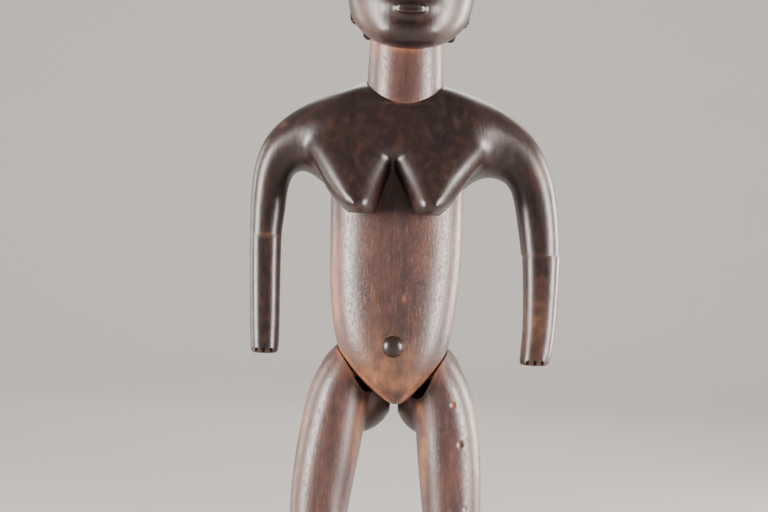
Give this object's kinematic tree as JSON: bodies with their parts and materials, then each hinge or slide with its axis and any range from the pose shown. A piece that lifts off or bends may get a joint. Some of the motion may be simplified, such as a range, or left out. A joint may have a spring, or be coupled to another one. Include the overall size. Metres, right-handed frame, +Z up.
{
  "type": "fertility doll",
  "caption": "Carved wooden standing female figure with free arms, plaited hair and a navel knob, put together from pegged pieces.",
  "frame": {"origin": "under the middle of the doll's outer box, on the plane of its soles", "axes": "+Z up through the head, -Y out of the chest and face, +X to the doll's own left arm"},
  "size_m": [0.1248, 0.0691, 0.3298],
  "materials": {
    "polished_wood": "dark, oiled and polished by handling",
    "worn_wood": "reddish brown with grey patina, satin",
    "raw_wood": "plain, untreated"
  },
  "bodies": {
    "root": {"head": "polished_wood", "trunk": "worn_wood", "shoulder_yoke": "polished_wood", "forearm_left": "polished_wood", "forearm_right": "polished_wood", "forearm_dowel_left": "raw_wood", "forearm_dowel_right": "raw_wood", "leg_left": "worn_wood", "leg_right": "worn_wood", "hip_dowel": "raw_wood", "navel_plug": "polished_wood"}
  },
  "joints": []
}
